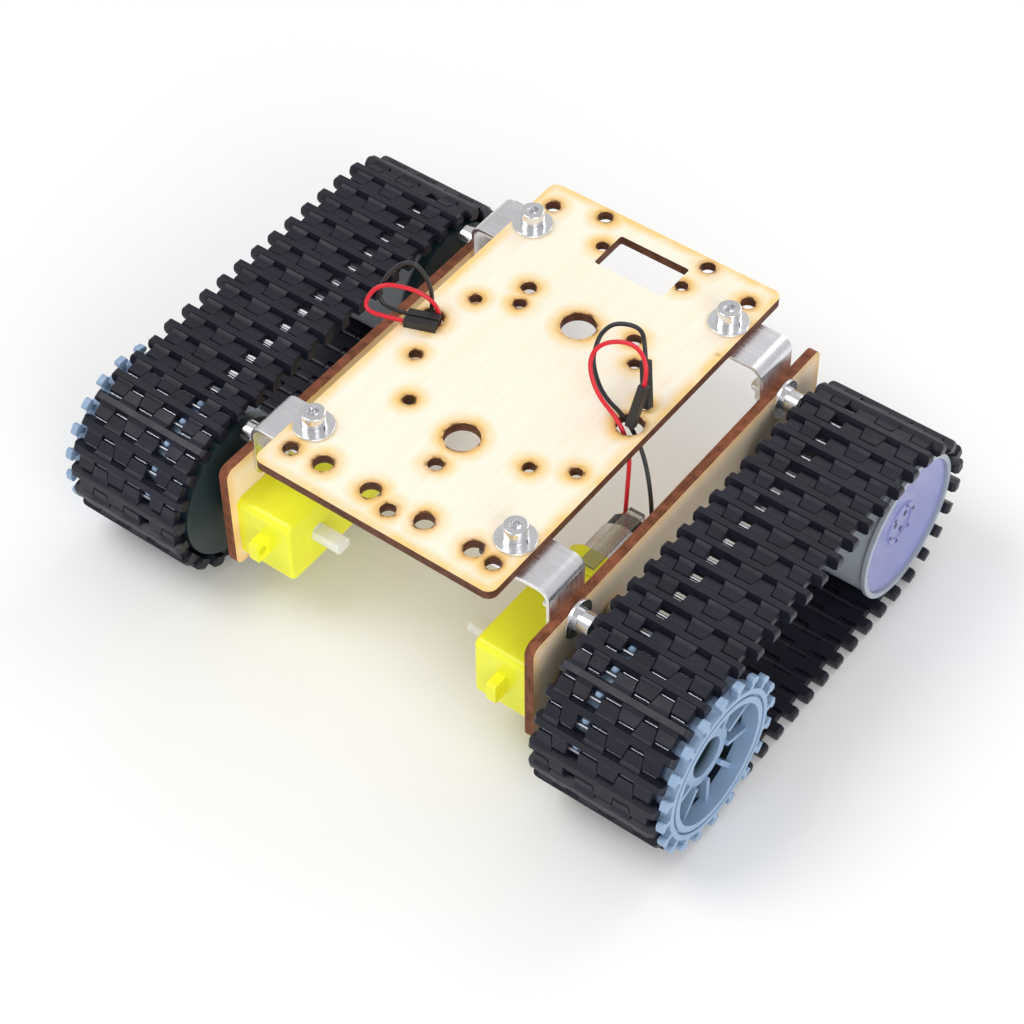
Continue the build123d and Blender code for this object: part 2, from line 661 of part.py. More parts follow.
TOOTH_ANGLES = [TURN * tooth for tooth in range(WHEEL_LINKS)]
CUP_START = 66.0
RIM_START = SPROCKET_FACE - RIM_DEPTH
HUB_FACE = RIM_START + 0.9

for name, side in SIDES.items():
    with BuildPart() as sprocket:
        with BuildSketch(Plane.XY.offset(AXLE_Z)):
            with Locations((0, DRIVE_Y)):
                Polygon(*band(side, SIDE_OUT + 1.5, RIM_START, CUP_R, HUB_R), align=None)
                Polygon(*band(side, SIDE_OUT + 1.5, CUP_START, 1.3, HUB_R), align=None)
                Polygon(*band(side, SPROCKET_INNER, SPROCKET_INNER + 2, HUB_R - 0.5, BARREL_R), align=None)
                Polygon(*band(side, SPROCKET_INNER, RIM_START + 0.5, BARREL_R - BARREL_WALL, BARREL_R), align=None)
                Polygon(*band(side, WINDOW[0] + 0.2, WINDOW[1] - 0.2, BARREL_R - 1, GUIDE_R), align=None)
                Polygon(*band(side, RIM_START - 4.5, HUB_FACE, CUP_R, HUB_RING_R), align=None)
                Polygon(*band(side, RIM_START, SPROCKET_FACE, RIM_INNER_R, RIM_OUTER_R), align=None)
                Polygon(*band(side, SPROCKET_FACE - 1, SPROCKET_FACE, 20.2, 21), align=None, mode=Mode.SUBTRACT)
        revolve(axis=axle(DRIVE_Y))
        with BuildSketch(slab(side, RIM_START - 3, RIM_START + 2)):
            with Locations((DRIVE_Y, AXLE_Z)):
                reach = BARREL_R - BARREL_WALL + 0.3 - HUB_RING_R
                with PolarLocations(HUB_RING_R + reach / 2, SPOKES, TURN):
                    Rectangle(reach + 0.6, SPOKE)
        extrude(amount=5)
        with BuildSketch(slab(side, SIDE_OUT + 1.5, SHAFT_OUT + 0.4)):
            with Locations((DRIVE_Y, AXLE_Z)):
                Circle(SHAFT_R + RUNNING)
                Rectangle(4 * SHAFT_R, SHAFT_FLATS + 2 * RUNNING, mode=Mode.INTERSECT)
        extrude(amount=SHAFT_OUT - SIDE_OUT - 1.1, mode=Mode.SUBTRACT)
        # teeth with a narrow neck and a round head stand outside the links
        with BuildSketch(slab(side, TOOTH_X, SPROCKET_FACE)):
            with Locations((DRIVE_Y, AXLE_Z)):
                neck = TOOTH_TIP_R - RIM_OUTER_R
                with PolarLocations(RIM_OUTER_R - 0.3 + neck / 2, WHEEL_LINKS):
                    Rectangle(neck, 1.7)
                with PolarLocations(TOOTH_TIP_R - 1.0, WHEEL_LINKS):
                    SlotCenterToCenter(1.6, 2.0, rotation=90)
        extrude(amount=SPROCKET_FACE - TOOTH_X)
    sprocket.part.label = name + "_sprocket"
    export_step(sprocket.part, "parts/" + name + "_sprocket.step")

    with BuildPart() as sprocket_screw:
        with BuildSketch(slab(side, SHAFT_OUT - 5, CUP_START)):
            with Locations((DRIVE_Y, AXLE_Z)):
                Circle(1.25)
        extrude(amount=CUP_START - SHAFT_OUT + 5)
        with BuildSketch(slab(side, CUP_START, CUP_START + 2)):
            with Locations((DRIVE_Y, AXLE_Z)):
                Circle(2.5)
        extrude(amount=2)
        with BuildSketch(slab(side, CUP_START + 1, CUP_START + 2)):
            with Locations((DRIVE_Y, AXLE_Z)):
                Rectangle(3, 0.6)
                Rectangle(0.6, 3)
        extrude(amount=1, mode=Mode.SUBTRACT)
    sprocket_screw.part.label = name + "_sprocket_screw"
    export_step(sprocket_screw.part, "parts/" + name + "_sprocket_screw.step")

# ---------------------------------------------------------------- idlers

BEARING_WIDTH = 4.0
BEARINGS = (62.0, 89.0)
FLANGE_R = 22.9
COVER_SEAT = 97.9
COVER_R = 21.2
COVER_DISH = ((97.0, 0), (97.7, 0), (97.7, 7.5), (99.4, COVER_R), (COVER_SEAT + 0.1, COVER_R), (97.0, 7.0))

for name, side in SIDES.items():
    with BuildPart() as idler:
        with BuildSketch(Plane.XY.offset(AXLE_Z)):
            with Locations((0, IDLER_Y)):
                Polygon(*band(side, SPROCKET_INNER, IDLER_FACE, BARREL_R - BARREL_WALL, BARREL_R), align=None)
                Polygon(*band(side, IDLER_FACE - 1.5, IDLER_FACE, BARREL_R - 0.5, FLANGE_R), align=None)
                Polygon(*band(side, COVER_SEAT, IDLER_FACE, 0.5, COVER_R + 0.02), align=None, mode=Mode.SUBTRACT)
                Polygon(*band(side, BEARINGS[0], BEARINGS[1] + BEARING_WIDTH, BEARING_R - 1, IDLER_HUB_R), align=None)
                Polygon(*band(side, BEARINGS[0], BEARINGS[0] + 2, IDLER_HUB_R - 0.5, BARREL_R), align=None)
                Polygon(*band(side, BEARINGS[1], BEARINGS[1] + 2, IDLER_HUB_R - 0.5, BARREL_R - 0.5), align=None)
                for seat in BEARINGS:
                    corners = band(side, seat, seat + BEARING_WIDTH, 0.5, BEARING_R)
                    Polygon(*corners, align=None, mode=Mode.SUBTRACT)
        revolve(axis=axle(IDLER_Y))
    idler.part.label = name + "_idler_wheel"
    export_step(idler.part, "parts/" + name + "_idler_wheel.step")

    with BuildPart() as idler_bearings:
        with BuildSketch(Plane.XY.offset(AXLE_Z)):
            with Locations((0, IDLER_Y)):
                for seat in BEARINGS:
                    inner_r = SCREW_R + RUNNING
                    corners = band(side, seat + 0.05, seat + BEARING_WIDTH - 0.05, inner_r, BEARING_R - 0.02)
                    Polygon(*corners, align=None)
                    groove = band(side, seat + BEARING_WIDTH - 0.35, seat + BEARING_WIDTH, 2.9, 4.2)
                    Polygon(*groove, align=None, mode=Mode.SUBTRACT)
        revolve(axis=axle(IDLER_Y))
    idler_bearings.part.label = name + "_idler_bearings"
    export_step(idler_bearings.part, "parts/" + name + "_idler_bearings.step")

    with BuildPart() as idler_cover:
        with BuildSketch(Plane.XY.offset(AXLE_Z)):
            with Locations((0, IDLER_Y)):
                Polygon(*[(side * x, r) for x, r in COVER_DISH], align=None)
                Polygon(*band(side, 97.4, 98.2, 5.2, 6.9), align=None)
        revolve(axis=axle(IDLER_Y))
    idler_cover.part.label = name + "_idler_cover"
    export_step(idler_cover.part, "parts/" + name + "_idler_cover.step")

AXLE_END = 96.9
with BuildPart() as idler_axles:
    for side in SIDES.values():
        with BuildSketch(slab(side, SIDE_IN - SCREW_HEAD, AXLE_END)):
            with Locations((IDLER_Y, AXLE_Z)):
                Circle(SCREW_R)
        extrude(amount=AXLE_END - SIDE_IN + SCREW_HEAD)
        with BuildSketch(slab(side, SIDE_IN - SCREW_HEAD, SIDE_IN)):
            with Locations((IDLER_Y, AXLE_Z)):
                Circle(SCREW_HEAD_R)
        extrude(amount=SCREW_HEAD)
        with BuildSketch(slab(side, SIDE_IN - SCREW_HEAD, SIDE_IN - SCREW_HEAD + 2)):
            with Locations((IDLER_Y, AXLE_Z)):
                RegularPolygon(SOCKET_AF / 2, 6, major_radius=False)
        extrude(amount=2, mode=Mode.SUBTRACT)
idler_axles.part.label = "idler_axles"
export_step(idler_axles.part, "parts/idler_axles.step")

with BuildPart() as idler_axle_nuts:
    for side in SIDES.values():
        for start in (SIDE_OUT, AXLE_END - NUT - 0.5):
            with BuildSketch(slab(side, start, start + NUT)):
                with Locations((IDLER_Y, AXLE_Z)):
                    RegularPolygon(NUT_AF / 2, 6, major_radius=False)
                    Circle(SCREW_R + 0.03, mode=Mode.SUBTRACT)
            extrude(amount=NUT)
idler_axle_nuts.part.label = "idler_axle_nuts"
export_step(idler_axle_nuts.part, "parts/idler_axle_nuts.step")

with BuildPart() as idler_spacers:
    for side in SIDES.values():
        for start, end in ((SIDE_OUT + NUT, BEARINGS[0]), (BEARINGS[0] + BEARING_WIDTH, BEARINGS[1])):
            with BuildSketch(slab(side, start + 0.1, end - 0.1)):
                with Locations((IDLER_Y, AXLE_Z)):
                    Circle(3.0)
                    Circle(SCREW_R + 0.03, mode=Mode.SUBTRACT)
            extrude(amount=end - start - 0.2)
idler_spacers.part.label = "idler_spacers"
export_step(idler_spacers.part, "parts/idler_spacers.step")

# ---------------------------------------------------------------- tracks

# Hinges counter-clockwise from the top of the drive wheel: rear wrap, bottom, front wrap, top.
hinges = []
for step in range(WHEEL_LINKS // 2):
    angle = math.radians(90 + TURN * step)
    hinges.append((DRIVE_Y + HINGE_R * math.cos(angle), AXLE_Z + HINGE_R * math.sin(angle)))
for step in range(RUN_LINKS):
    hinges.append((DRIVE_Y + PITCH * step, AXLE_Z - HINGE_R))
for step in range(WHEEL_LINKS // 2):
    angle = math.radians(270 + TURN * step)
    hinges.append((IDLER_Y + HINGE_R * math.cos(angle), AXLE_Z + HINGE_R * math.sin(angle)))
for step in range(RUN_LINKS):
    hinges.append((IDLER_Y - PITCH * step, AXLE_Z + HINGE_R))
link_frames = []
for start, end in zip(hinges, hinges[1:] + hinges[:1]):
    heading = math.degrees(math.atan2(end[1] - start[1], end[0] - start[0]))
    link_frames.append(Location((0, start[0], start[1]), (heading, 0, 0)))

# Knuckles from inboard to outboard: at the start of a link, or at its end.
START_KNUCKLES = ((PLATE_INNER, 67.5), (WINDOW[1], 82.0), (88.0, 93.4))
END_KNUCKLES = ((67.5, WINDOW[0]), (82.0, 88.0), (93.4, PLATE_OUTER))
WEB = 0.85

# Cleats stop short of the sprocket's teeth where a link is near them.
beside_teeth = []
clear_of_teeth = []
for frame in link_frames:
    middle = frame * Location((0, PITCH / 2, 0))
    near = middle.position.Y < DRIVE_Y + 2 * PITCH
    (beside_teeth if near else clear_of_teeth).append(frame)

for name, side in SIDES.items():
    # a link of the lower run: +Y along it, -Z outwards
    with BuildPart() as plate:
        with BuildSketch(slab(side, PLATE_INNER, PLATE_OUTER)):
            with Locations((PITCH / 2, 0)):
                Rectangle(PITCH - 2 * PLATE_EDGE, 2 * PLATE_HALF)
        extrude(amount=PLATE_OUTER - PLATE_INNER)
        for hinge_y, knuckles in ((0, START_KNUCKLES), (PITCH, END_KNUCKLES)):
            for knuckle_in, knuckle_out in knuckles:
                length = knuckle_out - knuckle_in - KNUCKLE_GAP
                with BuildSketch(slab(side, knuckle_in + KNUCKLE_GAP / 2, knuckle_out - KNUCKLE_GAP / 2)):
                    with Locations((hinge_y, 0)):
                        Circle(KNUCKLE_R)
                    with Locations(((hinge_y + PITCH / 2) / 2, 0)):
                        Rectangle(PITCH / 2, 2 * WEB)
                extrude(amount=length)
        with BuildSketch(slab(side, PLATE_INNER, PLATE_OUTER)):
            with Locations((0, 0), (PITCH, 0)):
                Circle(PIN_R + RUNNING)
        extrude(amount=PLATE_OUTER - PLATE_INNER, mode=Mode.SUBTRACT)
        with BuildSketch(slab(side, *WINDOW)):
            with Locations((PLATE_EDGE, 0), (PITCH - PLATE_EDGE, 0)):
                Rectangle(1.6, 3 * PLATE_HALF)
        extrude(amount=WINDOW[1] - WINDOW[0], mode=Mode.SUBTRACT)

    links = []
    for cleat_end in (TRACK_BY_TEETH, TRACK_OUTER):
        with BuildPart() as link:
            add(plate.part)
            with BuildSketch(slab(side, TRACK_INNER, cleat_end)):
                with Locations((PITCH / 2, 0)):
                    Polygon(
                        (-CLEAT_ROOT / 2, PLATE_HALF),
                        (-CLEAT_ROOT / 2, -PLATE_HALF),
                        (-CLEAT_CREST / 2, -CLEAT_TOP),
                        (CLEAT_CREST / 2, -CLEAT_TOP),
                        (CLEAT_ROOT / 2, -PLATE_HALF),
                        (CLEAT_ROOT / 2, PLATE_HALF),
                        align=None,
                    )
            extrude(amount=cleat_end - TRACK_INNER)
            crest_ends = link.edges().filter_by(Axis.Y).sort_by(Axis.Z)[:2]
            fillet(crest_ends, 1.4)
            inner_ends = link.edges().filter_by(Axis.Y).sort_by(lambda e: abs(e.center().X))
            link_ends = [e for e in inner_ends if e.center().Z > 0.9 * PLATE_HALF]
            link_ends = [e for e in link_ends if abs(abs(e.center().X) - cleat_end) < 0.01]
            chamfer(link_ends, 0.8)
        links.append(link.part)

    with BuildPart() as track_links:
        with Locations(*beside_teeth):
            add(links[0])
        with Locations(*clear_of_teeth):
            add(links[1])
    track_links.part.label = name + "_track_links"
    export_step(track_links.part, "parts/" + name + "_track_links.step")

    with BuildPart() as track_pins:
        with BuildSketch(slab(side, PLATE_INNER + 0.2, PLATE_OUTER - 0.2)):
            with Locations(*hinges):
                Circle(PIN_R)
        extrude(amount=PLATE_OUTER - PLATE_INNER - 0.4)
    track_pins.part.label = name + "_track_pins"
    export_step(track_pins.part, "parts/" + name + "_track_pins.step")

# ---------------------------------------------------------------- wires


def deck_points(points):
    """Points measured from the middle of the deck's top face."""
    return [Vector(x, DECK_Y + y, DECK_TOP + z) for x, y, z in points]


def bend_radii(points):
    """The largest even bend at each corner of a route."""
    radii = []
    for before, corner, after in zip(points, points[1:], points[2:]):
        turn = math.radians((corner - before).get_angle(after - corner))
        shorter = min((corner - before).length, (after - corner).length)
        radii.append(0.45 * shorter / math.tan(turn / 2))
    return radii


TAB_Y = cap_y + CAP_LENGTH + 1.3 - DECK_Y
TAB_Z = AXLE_Z + TERMINAL_Z + 0.27 - DECK_TOP
RED_X = SPLIT_X - TERMINAL_X
BLACK_X = SPLIT_X + TERMINAL_X

# Housings: the end the wire enters, the far end, and how far the wire runs straight into it.
HOUSINGS = {
    "right_red": ((36.6, 4.6, 14.0), (35.3, 0.6, 0.8), 8),
    "right_black": ((31.2, 13.0, 13.6), (35.2, 8.6, 1.2), 8),
    "left_red": ((-39.0, -4.4, 1.3), (-30.1, -1.1, 1.3), 11.8),
    "left_black": ((-39.9, -1.5, 1.3), (-31.0, 1.8, 1.3), 8),
}
ROUTES = {
    "right_red": [
        (RED_X, TAB_Y, TAB_Z),
        (RED_X + 0.3, TAB_Y + 0.2, TAB_Z + 12),
        (36.5, -0.9, -7.0),
        (32.4, -0.6, 2.0),
        (23.5, 0.6, 6.5),
        (19.0, 3.0, 15.0),
        (21.5, 6.6, 24.0),
        (30.0, 8.4, 27.5),
    ],
    "right_black": [
        (BLACK_X, TAB_Y, TAB_Z),
        (BLACK_X - 0.3, TAB_Y + 0.2, TAB_Z + 10),
        (39.5, 1.8, -9.0),
        (32.9, 2.2, 1.0),
        (24.0, 3.0, 4.0),
        (18.0, 6.6, 10.0),
        (17.2, 10.2, 17.0),
        (17.6, 12.5, 22.5),
        (19.6, 15.6, 27.3),
        (25.3, 17.4, 27.3),
    ],
    "left_red": [
        (-RED_X, TAB_Y, TAB_Z),
        (-RED_X - 0.3, TAB_Y + 0.2, TAB_Z + 12),
        (-33.4, 2.5, -9.0),
        (-32.4, 3.9, 1.0),
        (-36.0, 2.0, 8.5),
        (-44.5, -2.4, 11.5),
        (-50.1, -6.4, 12.4),
        (-53.2, -8.9, 9.2),
        (-53.2, -9.6, 4.7),
    ],
    "left_black": [
        (-BLACK_X, TAB_Y, TAB_Z),
        (-BLACK_X + 0.3, TAB_Y + 0.2, TAB_Z + 10),
        (-37.5, 3.5, -9.0),
        (-36.0, 4.3, 4.0),
        (-37.5, 3.8, 15.0),
        (-44.0, 1.2, 19.0),
        (-50.0, -2.2, 12.0),
    ],
}

for name, (entry, far_end, lead_in) in HOUSINGS.items():
    entry_point, end_point = deck_points([entry, far_end])
    into = (end_point - entry_point).normalized()
    points = deck_points(ROUTES[name]) + [entry_point - into * lead_in, entry_point + into * 2]
    radii = bend_radii(points)
    with BuildPart() as wire:
        with BuildLine() as route:
            FilletPolyline(*points, radius=radii)
        path = route.wire()
        with BuildSketch(Plane(origin=path @ 0, z_dir=path % 0)):
            Circle(WIRE_R)
        sweep(path=path)
    wire.part.label = name + "_wire"
    export_step(wire.part, "parts/" + name + "_wire.step")
    print(f"{name}_wire: length {path.length:.0f} mm, tightest bend {min(radii):.1f} mm")

for name, (entry, far_end, lead_in) in HOUSINGS.items():
    entry_point, end_point = deck_points([entry, far_end])
    into = (end_point - entry_point).normalized()
    upright = abs(into.Z) > 0.5
    across = Vector(1, 0, 0) if upright else Vector(0, 0, 1)
    across = (across - into * across.dot(into)).normalized()
    with BuildPart() as connector:
        with BuildSketch(Plane(origin=entry_point, x_dir=across, z_dir=into)):
            Rectangle(HOUSING, HOUSING)
            Circle(WIRE_R + RUNNING, mode=Mode.SUBTRACT)
        extrude(amount=(end_point - entry_point).length)
    connector.part.label = name + "_connector"
    export_step(connector.part, "parts/" + name + "_connector.step")
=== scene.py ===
import json
import math

import bmesh
import bpy
from mathutils import Matrix, Vector


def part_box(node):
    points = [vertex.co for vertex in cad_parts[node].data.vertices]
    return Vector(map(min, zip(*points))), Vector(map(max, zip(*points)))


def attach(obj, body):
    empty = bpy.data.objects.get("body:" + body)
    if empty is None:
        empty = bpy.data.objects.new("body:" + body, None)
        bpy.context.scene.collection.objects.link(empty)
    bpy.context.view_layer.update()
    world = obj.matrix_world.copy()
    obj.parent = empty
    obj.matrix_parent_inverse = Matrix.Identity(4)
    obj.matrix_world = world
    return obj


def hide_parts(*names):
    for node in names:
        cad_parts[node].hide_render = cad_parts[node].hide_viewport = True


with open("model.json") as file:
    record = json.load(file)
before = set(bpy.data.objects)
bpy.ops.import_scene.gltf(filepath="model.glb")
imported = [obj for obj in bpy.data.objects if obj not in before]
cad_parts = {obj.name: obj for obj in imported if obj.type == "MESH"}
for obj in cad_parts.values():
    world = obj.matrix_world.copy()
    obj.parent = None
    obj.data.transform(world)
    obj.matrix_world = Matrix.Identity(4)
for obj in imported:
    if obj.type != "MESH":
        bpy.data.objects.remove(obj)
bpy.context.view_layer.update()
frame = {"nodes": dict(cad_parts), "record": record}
nodes = frame["nodes"]
MM = 0.001

# Sides across the chassis: left is -X, right is +X.
SIDES = {"left": -1, "right": 1}
behaviour = frame["record"]["behaviour"]
joint_at = {joint["name"]: Vector(joint["pos_m"]) / MM for joint in behaviour["joints"]}


# ---------------------------------------------------------------- node helpers


class Shader:
    """A material built node by node, in object coordinates measured in millimetres."""

    def __init__(self, name, color, roughness, metallic=0.0, **sockets):
        self.mat = bpy.data.materials.new(name)
        self.mat.use_nodes = True
        self.tree = self.mat.node_tree
        self.bsdf = self.tree.nodes["Principled BSDF"]
        self.bsdf.inputs["Base Color"].default_value = (*color, 1)
        self.bsdf.inputs["Roughness"].default_value = roughness
        self.bsdf.inputs["Metallic"].default_value = metallic
        for socket, value in sockets.items():
            self.bsdf.inputs[socket.replace("_", " ")].default_value = value
        self.place = self.node("ShaderNodeTexCoord").outputs["Object"]

    def node(self, kind, inputs=None, **settings):
        made = self.tree.nodes.new(kind)
        for key, value in settings.items():
            setattr(made, key, value)
        for key, value in (inputs or {}).items():
            if isinstance(value, bpy.types.NodeSocket):
                self.tree.links.new(value, made.inputs[key])
            else:
                made.inputs[key].default_value = value
        return made

    def link(self, output, socket):
        self.tree.links.new(output, self.bsdf.inputs[socket])

    def vector(self, operation, a, b=(0, 0, 0)):
        """A vector maths node."""
        return self.node("ShaderNodeVectorMath", {0: a, 1: b}, operation=operation)

    def scaled(self, scale):
        """Object coordinates times a scale per axis."""
        return self.vector("MULTIPLY", self.place, scale).outputs[0]

    def noise(self, scale, detail=3.0, roughness=0.55, distortion=0.0, vector=None):
        inputs = {
            "Vector": vector or self.place,
            "Scale": scale,
            "Detail": detail,
            "Roughness": roughness,
            "Distortion": distortion,
        }
        return self.node("ShaderNodeTexNoise", inputs).outputs[0]

    def math(self, operation, a, b=0.0, clamp=False):
        made = self.node("ShaderNodeMath", {0: a, 1: b}, operation=operation, use_clamp=clamp)
        return made.outputs[0]

    def remap(self, value, low, high, to_low=0.0, to_high=1.0, smooth=False):
        inputs = {"Value": value, "From Min": low, "From Max": high}
        inputs.update({"To Min": to_low, "To Max": to_high})
        kind = "SMOOTHSTEP" if smooth else "LINEAR"
        return self.node("ShaderNodeMapRange", inputs, interpolation_type=kind).outputs[0]

    def mix(self, factor, a, b, blend="MIX"):
        made = self.tree.nodes.new("ShaderNodeMix")
        made.data_type = "RGBA"
        made.blend_type = blend
        for socket, value in ((made.inputs[0], factor), (made.inputs[6], a), (made.inputs[7], b)):
            if isinstance(value, bpy.types.NodeSocket):
                self.tree.links.new(value, socket)
            else:
                socket.default_value = value if isinstance(value, (int, float)) else (*value, 1)
        return made.outputs[2]

    def bump(self, height, strength=0.3, distance=0.0002):
        inputs = {"Strength": strength, "Distance": distance, "Height": height}
        made = self.node("ShaderNodeBump", inputs)
        self.link(made.outputs[0], "Normal")

    def axes(self, vector):
        split = self.node("ShaderNodeSeparateXYZ", {0: vector})
        return split.outputs[0], split.outputs[1], split.outputs[2]

    def across(self, axis):
        """How much the true surface faces along one axis, 0 to 1."""
        normal = self.node("ShaderNodeNewGeometry").outputs["True Normal"]
        return self.math("ABSOLUTE", self.axes(normal)["XYZ".index(axis)])


# ---------------------------------------------------------------- plywood

# How far the laser's marks reach, in millimetres.
LARGEST_HOLE_R = 7.5
SCORCH_REACH = 2.1
STAIN_START, STAIN_REACH = 0.3, 5.6
BORDER_REACH = 4.6
LAYER = 1.0


def hole_rims(node, axis, face):
    """Centre and radius of every round hole that opens on a sheet's face."""
    mesh = bmesh.new()
    mesh.from_mesh(nodes[node].data)
    bmesh.ops.remove_doubles(mesh, verts=mesh.verts, dist=1e-6)
    k = "XYZ".index(axis)
    flat = [f for f in mesh.faces if abs(f.normal[k]) > 0.9 and abs(f.calc_center_median()[k] - face) < 1e-5]
    chosen = set(flat)
    rim_edges = [e for f in flat for e in f.edges if sum(g in chosen for g in e.link_faces) == 1]
    links = {}
    for edge in rim_edges:
        a, b = edge.verts
        links.setdefault(a.index, []).append(b)
        links.setdefault(b.index, []).append(a)
    mesh.verts.ensure_lookup_table()
    seen, rims = set(), []
    for start in sorted(links):
        if start in seen:
            continue
        loop, todo = [], [start]
        while todo:
            index = todo.pop()
            if index in seen:
                continue
            seen.add(index)
            loop.append(mesh.verts[index].co.copy())
            todo += [v.index for v in links[index]]
        centre = sum(loop, Vector()) / len(loop)
        radius = max((point - centre).length for point in loop)
        if radius < LARGEST_HOLE_R * MM and len(loop) > 8:
            rims.append((centre, radius))
    mesh.free()
    return rims


def border_stain(wood, node, axis):
    """How near a point is to the sheet's outer border, 1 at the edge and 0 some millimetres in."""
    low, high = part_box(node)
    split = wood.axes(wood.place)
    near = None
    for index in range(3):
        if index == "XYZ".index(axis):
            continue
        for bound, way in ((low[index], 1), (high[index], -1)):
            apart = wood.math("MULTIPLY", wood.math("SUBTRACT", split[index], bound), way)
            edge = wood.remap(apart, 0.0, BORDER_REACH * MM, 1, 0, smooth=True)
            near = edge if near is None else wood.math("MAXIMUM", near, edge)
    return near


def plywood(name, node, axis, face, light, dark_edge, halo_color, amber, grain_axis="X"):
    """Laser-cut plywood: pale veneer, brown scorch round each hole, burnt layered edges."""
    wood = Shader(name, light, 0.62)
    wood.bsdf.inputs["Specular IOR Level"].default_value = 0.25
    stretch = {"X": (60, 900, 900), "Y": (900, 60, 900)}[grain_axis]
    grain = wood.noise(1.0, 6.0, 0.6, 0.3, wood.scaled(stretch))
    broad = wood.noise(1.0, 3.0, 0.5, 1.5, wood.scaled(tuple(s / 9 for s in stretch)))
    late_wood = tuple(c * k for c, k in zip(light, (0.97, 0.94, 0.88)))
    tint = wood.mix(wood.remap(grain, 0.35, 0.75), light, late_wood)
    tint = wood.mix(wood.remap(broad, 0.45, 0.8, 0, 0.25), tint, (0.88, 0.72, 0.46))
    # small knots and dark flecks
    inputs = {"Vector": wood.scaled((28, 44, 28)), "Scale": 1.0, "Randomness": 1.0}
    cells = wood.node("ShaderNodeTexVoronoi", inputs)
    fleck = wood.remap(cells.outputs["Distance"], 0.015, 0.05, 1, 0, smooth=True)
    tint = wood.mix(wood.math("MULTIPLY", fleck, 0.75), tint, (0.22, 0.10, 0.03))
    # scorch round the holes, and a wider amber smoke stain round them and along the border
    scorch, stain = None, border_stain(wood, node, axis)
    for centre, radius in hole_rims(node, axis, face):
        apart = wood.vector("DISTANCE", wood.place, centre).outputs["Value"]
        ring = wood.remap(apart, radius, radius + SCORCH_REACH * MM, 1, 0, smooth=True)
        stain_low, stain_high = radius + STAIN_START * MM, radius + STAIN_REACH * MM
        wide = wood.remap(apart, stain_low, stain_high, 1, 0, smooth=True)
        scorch = ring if scorch is None else wood.math("MAXIMUM", scorch, ring)
        stain = wood.math("MAXIMUM", stain, wide)
    cloudy = wood.remap(wood.noise(110, 3), 0.3, 0.7, 0.45, 1.35)
    stain = wood.math("MULTIPLY", stain, cloudy, clamp=True)
    tint = wood.mix(wood.math("MULTIPLY", stain, 0.85), tint, amber)
    ragged = wood.remap(wood.noise(420, 3), 0.3, 0.7, 0.6, 1.1)
    scorch = wood.math("MULTIPLY", scorch, ragged, clamp=True)
    tint = wood.mix(wood.math("MULTIPLY", scorch, 0.72), tint, halo_color)
    tight = wood.remap(scorch, 0.72, 1.0, 0, 0.85)
    tint = wood.mix(tight, tint, dark_edge)
    # cut edges: charred brown with thin pale and dark layers
    through = wood.axes(wood.place)["XYZ".index(axis)]
    layers = wood.math("SINE", wood.math("MULTIPLY", through, 2 * math.pi / (LAYER * MM)))
    char = wood.noise(1.0, 4.0, 0.6, 0.0, wood.scaled((300, 300, 300)))
    ember = tuple(min(1, 2.6 * c + 0.02) for c in dark_edge)
    burnt = wood.mix(wood.remap(char, 0.35, 0.7), dark_edge, ember)
    burnt = wood.mix(wood.remap(layers, 0.3, 1, 0, 0.35), burnt, (0.30, 0.12, 0.04))
    on_edge = wood.remap(wood.across(axis), 0.5, 0.9, 1, 0)
    wood.link(wood.mix(on_edge, tint, burnt), "Base Color")
    wood.bump(wood.math("ADD", grain, wood.math("MULTIPLY", layers, on_edge)), 0.25, 0.00008)
    return wood.mat


deck_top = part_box("top_plate")[1].z
deck_wood = plywood(
    "deck_plywood",
    "top_plate",
    "Z",
    deck_top,
    light=(0.95, 0.87, 0.74),
    dark_edge=(0.055, 0.016, 0.008),
    halo_color=(0.55, 0.26, 0.06),
    amber=(0.90, 0.58, 0.17),
    grain_axis="Y",
)
side_wood = {}
for name, side in SIDES.items():
    low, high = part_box(name + "_side_plate")
    side_wood[name] = plywood(
        name + "_side_plywood",
        name + "_side_plate",
        "X",
        high.x if side > 0 else low.x,
        light=(0.97, 0.80, 0.60),
        dark_edge=(0.11, 0.03, 0.012),
        halo_color=(0.40, 0.16, 0.04),
        amber=(0.90, 0.58, 0.24),
        grain_axis="Y",
    )


# ---------------------------------------------------------------- other materials


# Where the shade painted into the wheels' colour fades out, in millimetres: across the chassis, and from the
# axle.
DISC_SHADE = (64.5, 65.5)
DEEP_SHADE = (96.8, 99.2)
BARREL_SHADE = (20.5, 20.9)
# the dark colour painted on the wheels as shade
PAINTED_SHADE_COLOR = (0.016, 0.034, 0.042)


def wheel_painted_shade(made, axle, hollow):
    """Where a wheel's own shade is painted into its colour: its inboard disc and, if hollow, deep in its
    barrel.
    """
    inboard = made.math("ABSOLUTE", made.axes(made.place)[0])
    disc = made.remap(inboard, *(x * MM for x in DISC_SHADE), 1, 0)
    if not hollow:
        return disc
    apart = made.vector("SUBTRACT", made.place, axle * MM).outputs[0]
    apart = made.vector("MULTIPLY", apart, (0, 1, 1)).outputs[0]
    radius = made.vector("LENGTH", apart).outputs["Value"]
    inside = made.remap(radius, *(r * MM for r in BARREL_SHADE), 1, 0)
    deep = made.remap(inboard, *(x * MM for x in DEEP_SHADE), 1, 0)
    return made.math("MAXIMUM", disc, made.math("MULTIPLY", inside, deep))


